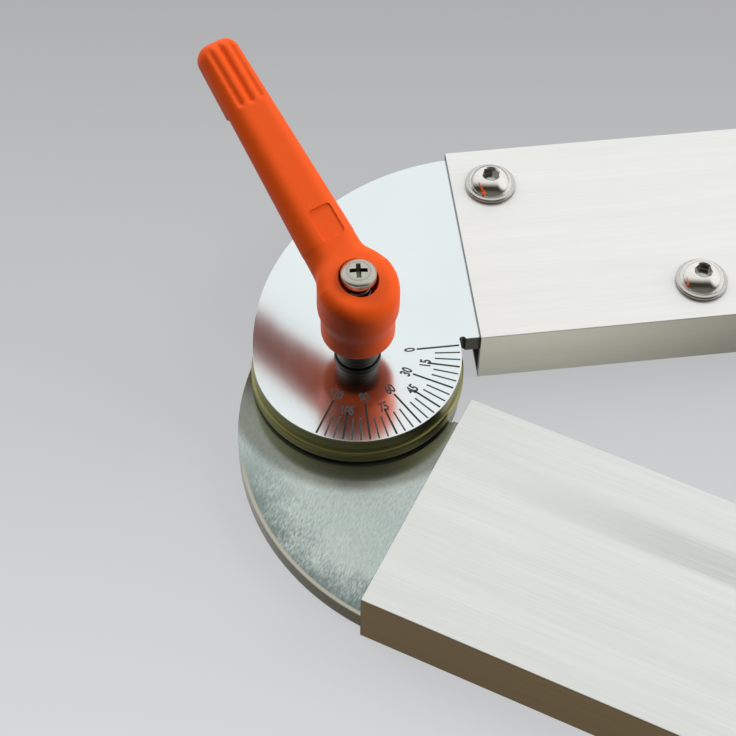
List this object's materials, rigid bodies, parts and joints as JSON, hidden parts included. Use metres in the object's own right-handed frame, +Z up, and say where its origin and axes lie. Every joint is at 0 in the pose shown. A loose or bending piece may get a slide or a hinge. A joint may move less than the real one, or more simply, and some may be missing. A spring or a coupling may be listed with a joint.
{
  "type": "angle finder with arms",
  "caption": "Bevel-type angle finder: two flat rectangular tubes swing on stacked plates about a clamped pivot with a degree dial and a ratchet lever.",
  "frame": {"origin": "on the pivot axis, at the underside of the pivot bolt's flat head, on the plane that the tubes lie on", "axes": "+Z up along the pivot axis; +X out along the lower arm's fence; the lower arm's body lies on the -Y side and the upper arm opens from +X towards +Y"},
  "size_m": [0.3692, 0.3013, 0.0874],
  "materials": {
    "tube_aluminium": "fine satin, brushed lengthwise",
    "plate_steel": "ground, half bright, with fine crossed scratches",
    "dial_steel": "lapped and polished bright, scale lines filled black",
    "spacer_steel": "turned edge, dulled olive brown",
    "bolt_steel": "turned",
    "insert_steel": "turned and burnished dark, glossy",
    "polished_screw": "polished",
    "dark_screw": "blackened",
    "bush_brass": "turned",
    "lever_plastic": "moulded orange, fine satin",
    "plug_plastic": "moulded black, satin",
    "glide_plastic": "black low-friction sheet"
  },
  "bodies": {
    "lower_arm": {"lower_tube": "tube_aluminium", "lower_plate": "plate_steel", "lower_arm_screw_rear": "dark_screw", "lower_arm_screw_fence": "dark_screw", "lower_end_plug": "plug_plastic", "pivot_bolt": "bolt_steel", "bolt_lock_pin": "bolt_steel", "glide_disc": "glide_plastic"},
    "upper_arm": {"upper_tube": "tube_aluminium", "upper_plate": "dial_steel", "upper_arm_screw_rear": "polished_screw", "upper_arm_screw_fence": "polished_screw", "upper_arm_washers": "polished_screw", "upper_end_plug": "plug_plastic", "spacer_disc": "spacer_steel", "spacer_screws": "dark_screw", "pivot_bush": "bush_brass", "thrust_washer": "bolt_steel"},
    "clamp": {"clamp_insert": "insert_steel", "handle_screw": "polished_screw", "handle_spring": "bolt_steel"},
    "handle": {"lever_handle": "lever_plastic"}
  },
  "joints": [
    {"name": "arm_swing", "type": "hinge", "parent": "lower_arm", "child": "upper_arm", "pos_m": [0, 0, 0.0085], "axis": [0, 0, 1], "range_deg": [-32.7, 87.3]},
    {"name": "clamp_turn", "type": "hinge", "parent": "lower_arm", "child": "clamp", "pos_m": [0, 0, 0.03], "axis": [0, 0, 1], "range_deg": [0, 180]},
    {"name": "handle_lift", "type": "slide", "parent": "clamp", "child": "handle", "axis": [0, 0, 1], "range_m": [0, 0.004], "stiffness_N_per_m": 1000, "springref_m": -0.002, "deforming": ["handle_spring"]}
  ]
}
